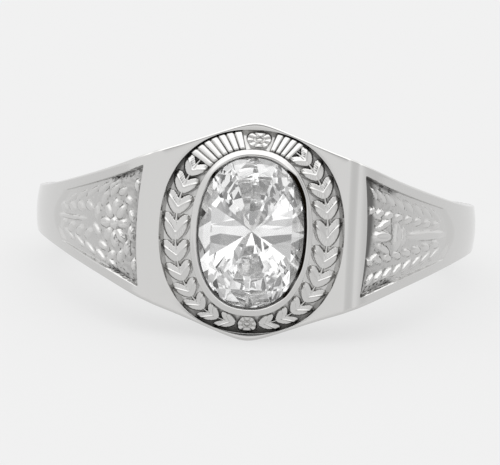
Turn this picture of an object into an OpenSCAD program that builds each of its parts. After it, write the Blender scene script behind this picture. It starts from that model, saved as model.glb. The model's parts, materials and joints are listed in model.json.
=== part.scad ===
// Class ring with an oval faceted stone in a bezel, an ornamented border round it, and a
// sunk panel of cast relief on each shoulder. It lies on its side, as it rests by itself:
// the head's lower edge and the back of the band touch the surface at z = 0.

/* [Finger hole] */
// Diameter of the finger hole
finger_d = 17.3; // [15:0.1:21]
// Bevel where the finger hole meets the sides of the band
hole_bevel = 0.15; // [0.05:0.05:0.25]

/* [Band] */
// Thickness of the band at the sides of the finger
side_wall = 1.65; // [1.4:0.05:2.2]
// Thickness of the band at the back
back_wall = 1.3; // [1:0.05:1.8]
// Width of the band at the sides of the finger
side_width = 2; // [1.8:0.1:3]
// Width of the band at the back
back_width = 1.6; // [1.5:0.1:2.6]
// Rounding of the long outer edges
edge_r = 0.12; // [0.06:0.02:0.2]
// How far the sides lean in towards the finger hole, in degrees
side_draft = 12; // [0:1:15]

/* [Head] */
// Height of the head's rim above the finger hole
head_rise = 3.2; // [2.9:0.1:4]
// Width of the head along the finger
head_width = 9.85; // [9.6:0.05:11]
// Half length of the head's flat top, across the finger
head_flat = 4.2; // [4.15:0.05:4.6]
// Step down from the head's rim to the shoulder
step_drop = 0.2; // [0.1:0.05:0.4]
// Length of that step, across the finger
step_run = 0.6; // [0.3:0.05:0.8]
// Angle of the flanks that run from the head to the band, in degrees
flank_angle = 21.8; // [20:0.2:24]
// Rounding of the corner where the two flanks meet
flank_round = 0.25; // [0.1:0.05:0.5]
// How far each flank swells where the head meets the shoulder
shoulder_swell = 0.08; // [0:0.02:0.2]

/* [Stone] */
// Length of the stone, along the finger
stone_l = 7; // [6.6:0.1:7.2]
// Width of the stone
stone_w = 5; // [4.6:0.1:5.2]
// How full the stone's oval and those round it are: 2 is an ellipse, and more fills its corners
oval_fullness = 2.25; // [2:0.05:2.3]
// Height of the crown above the girdle
crown_h = 0.65; // [0.5:0.05:0.9]
// Depth of the pavilion below the girdle
pavilion_h = 2.5; // [2.1:0.05:2.7]
// Thickness of the girdle
girdle_t = 0.1; // [0.06:0.02:0.16]
// Size of the table, as a share of the stone
table_share = 0.56; // [0.5:0.01:0.62]
// Gap between the stone and its seat
stone_gap = 0.02; // [0.01:0.01:0.04]

/* [Bezel] */
// Height of the stone's girdle above the head's rim
girdle_rise = 0.65; // [0.5:0.05:0.8]
// Height of the bezel above the girdle
bezel_h = 0.4; // [0.3:0.05:0.5]
// Thickness of the bezel outside the stone
bezel_wall = 0.24; // [0.16:0.02:0.3]
// How far the bezel's top slopes down away from the stone
bezel_slope = 0.09; // [0.03:0.02:0.15]
// How far the lip of the bezel reaches over the stone
lip_over = 0.14; // [0.08:0.02:0.16]
// Width of the ledge that the stone sits on
seat_ledge = 0.3; // [0.2:0.05:0.4]
// Diameter of the window behind the stone
window_d = 2; // [1.4:0.1:2.2]

/* [Border] */
// Length of the sunk oval round the bezel, along the finger
border_l = 9.15; // [8.9:0.05:9.15]
// Width of the sunk oval
border_w = 8.2; // [7.8:0.05:8.25]
// Bevel where the head's flat top meets the sunk oval
border_bevel = 0.1; // [0.06:0.02:0.12]
// Height of the border's ornament above its floor
border_depth = 0.35; // [0.2:0.05:0.45]
// How far the ornament rises from the rim to the bezel
border_slope = 0.42; // [0.2:0.02:0.5]

/* [Shoulder panels] */
// Width of the plain frame beside each panel
panel_frame = 0.5; // [0.4:0.05:0.65]
// Depth of the panels
panel_depth = 0.3; // [0.3:0.05:0.45]
// Height of the relief above a panel's floor
relief_h = 0.23; // [0.15:0.02:0.29]
// How much shallower a panel is at its far end, as a share of its depth
panel_fade = 0.7; // [0:0.1:0.8]
// Extra depth of the groove along each side of a panel, near the head
groove_depth = 0.1; // [0:0.02:0.14]
// Width of that groove
groove_width = 0.34; // [0.2:0.02:0.5]

/* [Hidden] */
$fn = 64;

finger_r = finger_d / 2;
rim_y = finger_r + head_rise;
side_r = finger_r + side_wall;
back_r = finger_r + back_wall;
girdle_y = rim_y + girdle_rise;
bezel_y = girdle_y + girdle_t + bezel_h;
stone_a = stone_w / 2;
stone_b = stone_l / 2;

// Steps round half the ring: over the flat head, down its step, along the shoulder and round the back
HEAD_STEPS = 5;
STEP_STEPS = 5;
SHOULDER_STEPS = 14;
BACK_STEPS = 16;
// Sides of every plain oval
OVAL_SIDES = 64;
// How far a cutting or buried solid runs past the face that it meets
past = 0.6;
// Blend where the flanks run into the even width of the band
FLANK_BLEND = 0.15;
// Half length of the swell where the head meets the shoulder
SWELL_RUN = 1.3;

function mix(a, b, t) = a + (b - a) * t;
function bezier(a, b, c, d, t) =
    pow(1 - t, 3) * a + 3 * pow(1 - t, 2) * t * b + 3 * (1 - t) * t * t * c + pow(t, 3) * d;
function larger(a, b, blend) = (a + b + sqrt(pow(a - b, 2) + blend * blend)) / 2;

// Half width of the ring where its outline stands a distance x from the middle
function flank(x) =
    head_width / 2 + flank_round - sqrt(pow(flank_round, 2) + pow(tan(flank_angle) * x, 2));
function swell(x) = shoulder_swell * exp(-pow((x - head_flat - step_run) / SWELL_RUN, 2));
function half_width(x) = larger(flank(x), side_width / 2, FLANK_BLEND) + swell(x);

// The outer profile, as points [across, towards the head]: the soft step beside the head
function step_point(t) = [head_flat + step_run * t, rim_y - step_drop * t * t * (3 - 2 * t)];

// The shoulder's two control points, as shares of its run and of its drop
SHOULDER_START = [0.36, 0.03];
SHOULDER_END = [1, 0.62];
function shoulder(t) = let (from = step_point(1), run = side_r - from[0]) bezier(
    from,
    [from[0] + SHOULDER_START[0] * run, from[1] * (1 - SHOULDER_START[1])],
    [from[0] + SHOULDER_END[0] * run, from[1] * (1 - SHOULDER_END[1])],
    [side_r, 0],
    t);

// Fall of the outer face from its middle line to its edges, by angle from the head
CROWN = [[0, 0], [21, 0], [34, 0.06], [60, 0.1], [90, 0.12], [180, 0.12]];

// A station of the band is [angle from the head, radius, half width, fall to the edge]
function front_station(p) = let (angle = atan2(p[0], p[1]))
    [angle, norm(p), half_width(p[0]), lookup(angle, CROWN)];
function back_station(t) = let (angle = mix(90, 180, t))
    [angle, mix(side_r, back_r, t), mix(half_width(side_r), back_width / 2, t), lookup(angle, CROWN)];

half_ring = concat(
    [for (i = [0 : HEAD_STEPS]) front_station([head_flat * i / HEAD_STEPS, rim_y])],
    [for (i = [1 : STEP_STEPS]) front_station(step_point(i / STEP_STEPS))],
    [for (i = [1 : SHOULDER_STEPS]) front_station(shoulder(i / SHOULDER_STEPS))],
    [for (i = [1 : BACK_STEPS]) back_station(i / BACK_STEPS)]);
last = len(half_ring) - 1;
stations = concat(
    half_ring,
    [for (i = [last - 1 : -1 : 1]) let (s = half_ring[i]) [-s[0], s[1], s[2], s[3]]]);

// Half of a cross-section as [radius, along the finger], from the outer face to the finger hole
TOP_SHARES = [0, 0.4, 0.75];
EDGE_ANGLES = [0, 45, 90];
function edge_centre(s) = let (flat_w = s[2] - edge_r)
    [s[1] - s[3] * pow(flat_w / s[2], 2) - edge_r, flat_w];
function half_section(s) =
    let (edge = edge_centre(s), r_bevel = finger_r + hole_bevel)
    let (w_bevel = s[2] - (edge[0] - r_bevel) * tan(side_draft))
    concat(
        [for (k = TOP_SHARES) [s[1] - s[3] * pow(k * edge[1] / s[2], 2), k * edge[1]]],
        [for (a = EDGE_ANGLES) edge + edge_r * [cos(a), sin(a)]],
        [[r_bevel, w_bevel], [finger_r - past, w_bevel - hole_bevel - past]]);
function section(s) = let (half = half_section(s), n = len(half) - 1)
    concat([for (i = [n : -1 : 1]) [half[i][0], -half[i][1]]], half);
function in_ring(angle, q) = [q[0] * sin(angle), -q[0] * cos(angle), q[1]];

// The bezel is a solid plug until the stone's seat is cut from it. Its top slopes down from the
// stone to a broken outer corner. Its rows are [margin outside the stone, height]
BEZEL_CORNER = 0.06;
BEZEL_ROWS = [
    [bezel_wall, rim_y - border_depth - past],
    [bezel_wall, bezel_y - bezel_slope - BEZEL_CORNER],
    [bezel_wall - BEZEL_CORNER, bezel_y - bezel_slope],
    [bezel_wall * 0.4, bezel_y - bezel_slope * 0.35],
    [0, bezel_y]];

// The ring tips until the head's lower edge and the back's lower edge reach the surface together
back_edge = edge_centre(half_ring[last]) + [0, edge_r];
tip_angle = max([for (q = half_section(half_ring[0])) atan2(q[1] - back_edge[1], q[0] + back_edge[0])]);
function tipped(p) = [
    p[0], p[1] * cos(tip_angle) + p[2] * sin(tip_angle), p[2] * cos(tip_angle) - p[1] * sin(tip_angle)];
back_points = [for (q = section(half_ring[last])) tipped([0, q[0], q[1]])];
front_points = [for (q = section(half_ring[0])) tipped([0, -q[0], q[1]])];
stone_top = tipped([0, -girdle_y - girdle_t - crown_h, -stone_b * table_share]);
bezel_points = [for (r = BEZEL_ROWS) tipped([0, -r[1], -stone_b - r[0]])];
foremost = min(stone_top[1], min([for (p = bezel_points) p[1]]));
hindmost = max([for (p = back_points) p[1]]);
lowest = min([for (p = concat(back_points, front_points)) p[2]]);

module as_it_rests() translate([0, -(foremost + hindmost) / 2, -lowest])
    rotate([-tip_angle, 0, 0]) children();

// Puts a child drawn as [across, along the finger, height] on the head's side of the ring
module on_head() rotate([90, 0, 0]) children();

// A closed skin over a row of rings, either joined in a loop or capped at both ends
function quad(a, b, c, d) = [[a, b, c], [a, c, d]];
function between(rings, sides, looped) = [
    for (i = [0 : rings - (looped ? 1 : 2)], j = [0 : sides - 1])
        let (i2 = (i + 1) % rings, j2 = (j + 1) % sides)
        each quad(i * sides + j, i * sides + j2, i2 * sides + j2, i2 * sides + j)];
module skin(rings, looped = false) {
    sides = len(rings[0]);
    ends = looped ? [] : [
        [for (j = [sides - 1 : -1 : 0]) j],
        [for (j = [0 : sides - 1]) (len(rings) - 1) * sides + j]];
    polyhedron([for (r = rings) each r], concat(between(len(rings), sides, looped), ends));
}

// A solid through ovals, each [half width, half length, height], from the lowest up
function full(x) = sign(x) * pow(abs(x), 2 / oval_fullness);
function oval_point(a, b, angle) = [a * full(sin(angle)), b * full(cos(angle))];
module ovals(rows) skin([for (o = rows)
    [for (j = [0 : OVAL_SIDES - 1]) concat(oval_point(o[0], o[1], 360 * j / OVAL_SIDES), o[2])]]);
// The same with each row [margin outside the stone, height]
module stone_ovals(rows) ovals([for (r = rows) [stone_a + r[0], stone_b + r[0], r[1]]]);

module plain_band() skin([for (s = stations) [for (q = section(s)) in_ring(s[0], q)]], looped = true);

// The bevel is narrower along the finger, where the head leaves less room for it
BEVEL_ALONG = 0.25;
module border_pocket() ovals([
    [border_w / 2, border_l / 2, rim_y - border_depth - past / 4],
    [border_w / 2, border_l / 2, rim_y - border_bevel],
    [border_w / 2 + border_bevel, border_l / 2 + border_bevel * BEVEL_ALONG, rim_y],
    [border_w / 2 + border_bevel, border_l / 2 + border_bevel * BEVEL_ALONG, rim_y + past]]);

// The border's ornament follows rows from its outer edge to the bezel. A row gives its place as a
// share of that way, the heights of the flutes, the leaves and their stem, and then the half
// widths of a leaf and a boss and the forward lean of the leaves, as shares of their cell
PLACE = 0;
FLUTE = 1;
LEAF = 2;
STEM = 3;
LEAF_W = 4;
BOSS_W = 5;
LEAN = 6;
ROWS = [
    [-0.02, 0, 0, 0, 0.08, 0.1, 0.8],
    [0.03, 0.9, 0, 0, 0.08, 0.1, 0.8],
    [0.1, 1, 0.9, 0, 0.3, 0.16, 0.76],
    [0.24, 1, 1, 0, 0.45, 0.28, 0.6],
    [0.42, 1, 0.9, 0, 0.45, 0.38, 0.38],
    [0.5, 1, 0.9, 0.8, 0.34, 0.42, 0.26],
    [0.58, 1, 0.9, 0, 0.45, 0.38, 0.38],
    [0.76, 1, 1, 0, 0.45, 0.28, 0.6],
    [0.9, 1, 0.9, 0, 0.3, 0.16, 0.76],
    [0.96, 0.9, 0, 0, 0.08, 0.1, 0.8],
    [1.06, 0, 0, 0, 0.08, 0.1, 0.8]];
// Runs of ornament round the border: first angle, last angle, cells, kind, and way the leaves lean
BOSS = 5;
RUNS = [
    [-44, -7, 7, FLUTE, 0],
    [-7, 11, 1, BOSS, 0],
    [11, 30, 4, FLUTE, 0],
    [30, 173, 11, LEAF, -1],
    [173, 187, 1, BOSS, 0],
    [187, 316, 10, LEAF, 1]];
// Columns across a cell: half widths from its centre, share of the cell beyond that, and height
FLUTE_SHAPE = [[0, -0.47, 0.5], [0, -0.36, 0.85], [0, 0, 0.95], [0, 0.36, 0.85], [0, 0.47, 0.5]];
LEAF_SHAPE = [[-1, -0.04, 0], [-1, 0, 0.8], [0, 0, 1], [1, 0, 0.8], [1, 0.04, 0]];
columns = [for (r = RUNS, i = [0 : r[2] - 1], c = r[3] == FLUTE ? FLUTE_SHAPE : LEAF_SHAPE)
    [r[0] + (r[1] - r[0]) * i / r[2], (r[1] - r[0]) / r[2], r[3], r[4], c]];

// A point of the ornament in a column and row, as [across, along the finger, height]
function on_border(place, angle, height) = concat(
    oval_point(
        mix(border_w / 2, stone_a + bezel_wall, place),
        mix(border_l / 2, stone_b + bezel_wall, place),
        angle),
    rim_y + border_slope * place + height);
function raised(row, kind, shape) =
    kind == FLUTE ? row[FLUTE] * shape[2] : max(row[LEAF] * shape[2], kind == LEAF ? row[STEM] : 0);
function ornament_point(col, row) =
    let (half_w = row[col[2] == BOSS ? BOSS_W : LEAF_W], shape = col[4])
    let (place = 0.5 + col[3] * (row[LEAN] - 0.5) + shape[0] * half_w + shape[1])
    on_border(row[PLACE], col[0] + col[1] * place, border_depth * (raised(row, col[2], shape) - 1));

module border_ornament() let (n = len(ROWS) - 1) skin(
    [for (c = columns) concat(
        [for (i = [0, n]) ornament_point(c, ROWS[i]) - [0, 0, past]],
        [for (i = [n : -1 : 0]) ornament_point(c, ROWS[i])])],
    looped = true);

module bezel_plug() stone_ovals(BEZEL_ROWS);

// The stone's seat, from the bottom of its hollow to the mouth of the bezel. The mouth's inner edge
// reaches over the stone too, by less than the lip
MOUTH_OVER = 0.05;
lip_y = girdle_y + girdle_t + stone_gap + (lip_over + stone_gap) * crown_h / (stone_a * (1 - table_share));
seat_bottom = girdle_y - pavilion_h - 4 * stone_gap;
module stone_seat() {
    stone_ovals([
        [-stone_a * 0.8, seat_bottom],
        [-seat_ledge, girdle_y - seat_ledge * pavilion_h / stone_a - 2 * stone_gap],
        [stone_gap, girdle_y - 2 * stone_gap],
        [stone_gap, girdle_y + girdle_t + stone_gap],
        [-lip_over, lip_y],
        [-MOUTH_OVER, bezel_y],
        [-MOUTH_OVER, bezel_y + past]]);
    translate([0, 0, finger_r - past]) cylinder(h = seat_bottom + 2 * past - finger_r, d = window_d);
}

// A shoulder panel's cutter is a slab over a grid of rows away from the head and columns across.
// Its lower face is the panel's floor with the relief standing on it
PANEL_START = 0.04;
PANEL_END = 0.66;
// How far the panel's ends bow, as shares of its length
START_BOW = 0.04;
END_BOW = 0.1;
PANEL_ROWS = 24;
PANEL_COLUMNS = 16;
function panel_spot(s, q) = let (
        t = mix(PANEL_START + START_BOW * (1 - q * q) * PANEL_END,
                PANEL_END - END_BOW * q * q * PANEL_END, s),
        p = shoulder(t), away = shoulder(t + 0.01) - p)
    [p, [-away[1], away[0]] / norm(away), q * (half_width(p[0]) - panel_frame)];
function panel_point(s, q, height) = let (spot = panel_spot(s, q))
    let (fall = lookup(atan2(spot[0][0], spot[0][1]), CROWN) * pow(spot[2] / half_width(spot[0][0]), 2))
    let (p = spot[0] + spot[1] * (height - fall))
    [p[0], -p[1], spot[2]];

// Relief shapes are domes: centre along and across, half length and half width, turn in degrees
// and height, with lengths as shares of the panel's length and of its half width at the head
TORCH = concat(
    [[0.66, 0, 0.26, 0.1, 0, 1],
    [0.42, 0, 0.03, 0.2, 0, 0.9],
    [0.36, 0, 0.045, 0.3, 0, 1],
    [0.2, 0, 0.13, 0.12, 0, 1]],
    [for (side = [-1, 1]) [0.22, 0.2 * side, 0.1, 0.08, 20 * side, 0.9]],
    [for (side = [-1, 1]) [0.14, 0.34 * side, 0.07, 0.06, -20 * side, 0.7]],
    [for (side = [-1, 1], i = [0 : 7], out = [-1, 1]) let (s = 0.1 + 0.1 * i)
        [s + 0.02 * out, side * (0.62 - 0.47 * s + out * (0.15 - 0.08 * s)), 0.06, 0.075,
            -side * (14 + 26 * out), 0.8]]);
ROSETTE = concat(
    [[0.29, 0, 0.045, 0.12, 0, 1]],
    [for (turn = [0 : 45 : 315])
        [0.29 + 0.095 * cos(turn), 0.27 * sin(turn), 0.06, 0.1, turn, 0.9]],
    [for (turn = [15 : 30 : 345])
        [0.29 + 0.2 * cos(turn), 0.56 * sin(turn), 0.055, 0.08, turn + 60, 0.8]],
    [for (side = [-1, 1], i = [0 : 4])
        [0.36 + 0.12 * i, side * (0.65 - 0.09 * i), 0.065, 0.07, -30 * side, 0.8]],
    [for (side = [-1, 1], i = [0 : 3])
        [0.58 + 0.1 * i, side * (0.23 - 0.03 * i), 0.065, 0.08, 25 * side, 0.8]],
    [for (side = [-1, 1]) [0.07, 0.66 * side, 0.05, 0.11, 40 * side, 0.7]],
    [[0.76, 0, 0.2, 0.05, 0, 0.9]]);
panel_len = norm(shoulder(PANEL_END) - shoulder(PANEL_START));
panel_half = half_width(shoulder(PANEL_START)[0]) - panel_frame;
DOME_STEEPNESS = 1.8;
function dome(s, v, m) = let (
        along = (s - m[0]) * panel_len, across = v - m[1] * panel_half,
        u = (along * cos(m[4]) + across * sin(m[4])) / (m[2] * panel_len),
        w = (across * cos(m[4]) - along * sin(m[4])) / (m[3] * panel_half))
    m[5] * min(1, DOME_STEEPNESS * max(0, 1 - u * u - w * w));
function relief(s, q, motifs) = let (v = panel_spot(s, q)[2])
    relief_h * max([for (m = motifs) dome(s, v, m)]);

// The groove along a panel's sides, as rows of [share of the panel's length, share of its depth]
GROOVE = [[0, 0.2], [0.06, 0.5], [0.2, 0.9], [0.36, 1], [0.44, 0], [1, 0]];
function groove(s, q) = let (half_w = half_width(panel_spot(s, q)[0][0]) - panel_frame)
    lookup(s, GROOVE) * max(0, 1 - (1 - abs(q)) * half_w / groove_width);

// Height of a panel's floor and relief over the shoulder's face
function panel_height(s, q, motifs) = let (g = groove(s, q))
    (relief(s, q, motifs) * (1 - g) - panel_depth - groove_depth * g) * (1 - panel_fade * s);

module slab(low, high) {
    rows = len(low);
    cols = len(low[0]);
    top = rows * cols;
    // Edge points in order round the grid
    rim = concat(
        [for (j = [0 : cols - 1]) j],
        [for (i = [1 : rows - 1]) i * cols + cols - 1],
        [for (j = [cols - 2 : -1 : 0]) (rows - 1) * cols + j],
        [for (i = [rows - 2 : -1 : 1]) i * cols]);
    polyhedron(
        [for (r = low) each r, for (r = high) each r],
        concat(
            [for (i = [0 : rows - 2], j = [0 : cols - 2]) let (k = i * cols + j)
                each quad(k, k + cols, k + cols + 1, k + 1)],
            [for (i = [0 : rows - 2], j = [0 : cols - 2]) let (k = top + i * cols + j)
                each quad(k, k + 1, k + cols + 1, k + cols)],
            [for (k = [0 : len(rim) - 1]) let (a = rim[k], b = rim[(k + 1) % len(rim)])
                each quad(a, b, top + b, top + a)]));
}
module panel_cutter(motifs) {
    grid = [for (i = [0 : PANEL_ROWS]) [for (j = [0 : PANEL_COLUMNS])
        [i / PANEL_ROWS, 2 * j / PANEL_COLUMNS - 1]]];
    slab(
        [for (r = grid) [for (g = r) panel_point(g[0], g[1], panel_height(g[0], g[1], motifs))]],
        [for (r = grid) [for (g = r) panel_point(g[0], g[1], past)]]);
}

module ring_band() color("silver") as_it_rests() difference() {
    union() {
        difference() {
            plain_band();
            on_head() border_pocket();
        }
        on_head() border_ornament();
        on_head() bezel_plug();
    }
    cylinder(h = head_width + 2 * past, r = finger_r, center = true);
    on_head() stone_seat();
    panel_cutter(TORCH);
    mirror([1, 0, 0]) panel_cutter(ROSETTE);
}

// An oval brilliant: the round cut's points, in shares of the stone's half width, stretched to it
GIRDLE_SIDES = 32;
STAR_REACH = 0.78;
LOWER_REACH = 0.26;
EIGHTH = 45;
function cut_ring(count, first, reach, height) = [for (i = [0 : count - 1])
    concat(oval_point(stone_a * reach, stone_b * reach, first + 360 * i / count), height)];
function crown_at(reach) = girdle_y + girdle_t + crown_h * (1 - reach) / (1 - table_share);
function pavilion_at(reach) = girdle_y - pavilion_h * (1 - reach);

corners = concat(
    cut_ring(8, 0, table_share, crown_at(table_share)),
    cut_ring(8, EIGHTH / 2, STAR_REACH, crown_at(STAR_REACH * cos(EIGHTH / 2))),
    cut_ring(GIRDLE_SIDES, 0, 1, girdle_y + girdle_t),
    cut_ring(GIRDLE_SIDES, 0, 1, girdle_y),
    cut_ring(8, EIGHTH / 2, LOWER_REACH, pavilion_at(LOWER_REACH * cos(EIGHTH / 2))),
    [[0, 0, pavilion_at(0)]]);
// The hull finds the facets, so the faces here need only name every corner
module oval_stone() color("white") as_it_rests() on_head()
    hull() polyhedron(corners, [for (i = [2 : len(corners) - 1]) [i - 2, i - 1, i]]);

ring_band();
oval_stone();
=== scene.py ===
"""Looks of the class ring: polished white metal with cast relief, and a clear oval brilliant.

Sizes are in millimetres in the ring's own frame (X across, -Y towards the head, Z along the
finger), and place() brings them to the model's frame through the finger hole's mount. Heights
are measured towards the head, and angles round the head from its top (+Z), towards +X.
"""

import json
import math

import bmesh
import bpy
import numpy as np
from mathutils import Matrix, Vector


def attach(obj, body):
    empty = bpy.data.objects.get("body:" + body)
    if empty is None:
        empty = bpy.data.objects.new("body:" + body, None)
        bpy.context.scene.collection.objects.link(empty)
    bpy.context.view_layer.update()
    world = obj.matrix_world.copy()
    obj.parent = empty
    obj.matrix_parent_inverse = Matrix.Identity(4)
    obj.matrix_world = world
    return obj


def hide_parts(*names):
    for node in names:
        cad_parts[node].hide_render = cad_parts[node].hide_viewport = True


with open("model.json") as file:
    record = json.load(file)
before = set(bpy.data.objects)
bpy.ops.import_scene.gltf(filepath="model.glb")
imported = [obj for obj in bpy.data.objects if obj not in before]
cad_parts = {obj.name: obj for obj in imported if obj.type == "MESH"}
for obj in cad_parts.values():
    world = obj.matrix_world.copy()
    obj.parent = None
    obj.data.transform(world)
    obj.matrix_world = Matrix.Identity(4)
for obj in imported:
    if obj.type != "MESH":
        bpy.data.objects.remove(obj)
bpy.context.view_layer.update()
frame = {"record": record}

MM = 0.001
SIDES = (-1, 1)
HOLE = next(m for m in frame["record"]["mounts"] if m["name"] == "finger_hole")
CENTRE = np.array(HOLE["pos_m"]) / MM
TIP = math.atan2(HOLE["axis"][1], HOLE["axis"][2])

# Band and head
FINGER_R = HOLE["dims"]["r_mm"]
HOLE_BEVEL = 0.15
SIDE_R = FINGER_R + 1.65
BACK_R = FINGER_R + 1.3
SIDE_WIDTH = 2.0
BACK_WIDTH = 1.6
EDGE_R = 0.12
SIDE_DRAFT = math.radians(12)
RIM_Y = FINGER_R + 3.2
HEAD_WIDTH = 9.85
# The head's flat top ends at a soft step down to each shoulder
HEAD_FLAT = 4.2
STEP_DROP = 0.2
STEP_RUN = 0.6
# The flanks fall from the head's width to the band's, with a swell beside the step
FLANK_SLOPE = math.tan(math.radians(21.8))
FLANK_ROUND = 0.25
FLANK_BLEND = 0.15
SHOULDER_SWELL = 0.08
SWELL_RUN = 1.3
# The two inner handles of the shoulder's curve, as shares of its run and of its fall
SHOULDER_START = (0.36, 0.03)
SHOULDER_END = (1.0, 0.62)
CURVE_STEP = 0.01
# How far the outer face falls from its middle to its edges, by angle from the head
CROWN_ANGLE = (0, 21, 34, 60, 90, 180)
CROWN_FALL = (0, 0, 0.06, 0.1, 0.12, 0.12)

# Stone, with its half width A and half length B, and bezel
STONE_A = 2.5
STONE_B = 3.5
# How full the ovals are: 2 is an ellipse, and more fills its corners
FULLNESS = 2.25
GIRDLE_Y = RIM_Y + 0.65
GIRDLE_T = 0.1
CROWN_H = 0.65
PAVILION_H = 2.5
TABLE = 0.56
BEZEL_Y = GIRDLE_Y + GIRDLE_T + 0.4
BEZEL_WALL = 0.24
LIP_OVER = 0.14
STONE_GAP = 0.02
SEAT_LEDGE = 0.3
WINDOW_R = 1.0
SEAT_BOTTOM = GIRDLE_Y - PAVILION_H - 4 * STONE_GAP
LIP_Y = GIRDLE_Y + GIRDLE_T + STONE_GAP + (LIP_OVER + STONE_GAP) * CROWN_H / (STONE_A * (1 - TABLE))

# Border round the bezel
BORDER_A = 4.1
BORDER_B = 4.575
BORDER_DEPTH = 0.35
BORDER_SLOPE = 0.42
BORDER_BASE = RIM_Y - 0.6
# The border ground's patina, with painted light and shade that change by angle
PATINA_AND_SHADE_ANGLE = (0, 25, 45, 75, 90, 120, 155, 205, 225, 285, 300, 325, 342, 360)
PATINA_AND_SHADE = (0.2, 0.6, 0.9, 0.5, 0.15, 0.05, 0.95, 0.95, 0.1, 0.2, 1.0, 1.0, 0.25, 0.2)
# Painted shade gathers beside the raised forms: columns of the grid that it reaches over, and
# the darkening's strength in the open and beside a form. It fades with a form's height, where wear
# takes the patina off and the tops lie out of the shade
SHADE_REACH = range(-12, 13, 3)
PATINA_OPEN = 0.35
SHADE_CLOSE = 1.4
BORDER_RAISED_FADE = 2.2
PANEL_RAISED_FADE = 1.6

# Shoulder panels, whose start and end are places on the shoulder's curve
PANEL_START = 0.04
PANEL_END = 0.66
START_BOW = 0.04
END_BOW = 0.1
PANEL_FRAME = 0.5
PANEL_DEPTH = 0.3
PANEL_FADE = 0.7
RELIEF_H = 0.23
# Where the panel's floor begins to rise to the band at its far end
FAR_RISE = 0.9
# How dark a panel's ground is, by share of its length
PANEL_TONE_AT = (0, 0.12, 0.4, 1)
PANEL_TONE = (0.6, 0.3, 0.15, 0.0)
# A deeper groove, darkened with painted shade, runs along each side of a panel near the head
GROOVE_AT = (0, 0.06, 0.2, 0.36, 0.44)
GROOVE = (0.2, 0.5, 0.9, 1, 0)
GROOVE_WIDTH = 0.34
GROOVE_DEPTH = 0.1
# A smooth dark strip of painted shadow follows the wall that faces away from the head: its width as a
# share of the panel's length, how much wider it is at the top than in the middle, and its strength on
# each panel
SHADOW_STRIP = 0.14
SHADOW_STRIP_TAPER = 0.5
TORCH_SHADOW_STRIP = 0.95
ROSETTE_SHADOW_STRIP = 0.3


def place(points):
    """Ring frame in mm to the model's frame in metres."""
    x, y, z = np.moveaxis(np.asarray(points, dtype=float), -1, 0)
    cos, sin = math.cos(TIP), math.sin(TIP)
    turned = np.stack([x, y * cos + z * sin, z * cos - y * sin], axis=-1)
    return (turned + CENTRE) * MM


def mix(a, b, t):
    return a + (b - a) * t


def smooth(t):
    """0 below 0 and 1 above 1, with a soft rise between."""
    t = np.clip(t, 0, 1)
    return t * t * (3 - 2 * t)


def dome(t):
    """A round hump from 1 at t = 0 down to 0 at t = 1 and t = -1."""
    return np.sqrt(np.clip(1 - t**2, 0, 1))


def full(x):
    """A sine or cosine, drawn out so that an oval made with it has fuller corners."""
    return np.sign(x) * np.abs(x) ** (2 / FULLNESS)


def larger(a, b, blend):
    """The larger of two values, with a soft change from one to the other."""
    return (a + b + np.sqrt((a - b) ** 2 + blend * blend)) / 2


def half_width(x):
    """Half the ring's width at x, from the head's middle to the side of the band."""
    flank = HEAD_WIDTH / 2 + FLANK_ROUND - np.sqrt(FLANK_ROUND**2 + (FLANK_SLOPE * x) ** 2)
    swell = SHOULDER_SWELL * np.exp(-(((x - HEAD_FLAT - STEP_RUN) / SWELL_RUN) ** 2))
    return larger(flank, SIDE_WIDTH / 2, FLANK_BLEND) + swell


def step_point(t):
    """A point (x, height) on the soft step beside the head, from 0 to 1."""
    return HEAD_FLAT + STEP_RUN * t, RIM_Y - STEP_DROP * smooth(t)


def shoulder(t):
    """A point (x, height) of the shoulder's curve, from the step at 0 to the band's side at 1."""
    start_x, start_y = step_point(1.0)
    run = SIDE_R - start_x
    xs = (start_x, start_x + SHOULDER_START[0] * run, start_x + SHOULDER_END[0] * run, SIDE_R)
    ys = (start_y, start_y * (1 - SHOULDER_START[1]), start_y * (1 - SHOULDER_END[1]), 0)
    weights = ((1 - t) ** 3, 3 * (1 - t) ** 2 * t, 3 * (1 - t) * t * t, t**3)
    return sum(w * x for w, x in zip(weights, xs)), sum(w * y for w, y in zip(weights, ys))


def shoulder_normal(t):
    """The outward direction at a point of the shoulder's curve."""
    x, y = shoulder(t)
    next_x, next_y = shoulder(t + CURVE_STEP)
    run, rise = next_x - x, next_y - y
    length = np.hypot(run, rise)
    return -rise / length, run / length


# Relief on the shoulder panels. Each dome is [centre along, centre across, half length, half
# width, turn in degrees, height], with lengths as shares of the panel's length and half width
# The torch's laurel, in the same shares: the leaves' spacing, the branch's place across and how it
# nears the torch, the leaves' distance from it and how that shrinks, and their size and turn
LAUREL_LEAVES = 8
LEAF_SPACING = 0.1
BRANCH = (0.62, 0.47)
LEAF_OFFSET = (0.15, 0.08)
LEAF_STAGGER = 0.02
LEAF_SIZE = (0.06, 0.075)
LEAF_TURN = (14, 26)
LEAF_HEIGHT = 0.8
ROSETTE_CENTRE = 0.29


def laurel_leaf(side, out, number):
    """A leaf on the outer or inner side of a branch beside the torch."""
    along = LEAF_SPACING + LEAF_SPACING * number
    across = BRANCH[0] - BRANCH[1] * along + out * (LEAF_OFFSET[0] - LEAF_OFFSET[1] * along)
    turn = -side * (LEAF_TURN[0] + LEAF_TURN[1] * out)
    return [along + LEAF_STAGGER * out, side * across, *LEAF_SIZE, turn, LEAF_HEIGHT]


def round_centre(turns, along, across, half_l, half_w, lean, height):
    """Domes set round the rosette's centre."""
    domes = []
    for turn in turns:
        a = math.radians(turn)
        centre = [ROSETTE_CENTRE + along * math.cos(a), across * math.sin(a)]
        domes.append(centre + [half_l, half_w, turn + lean, height])
    return domes


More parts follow.
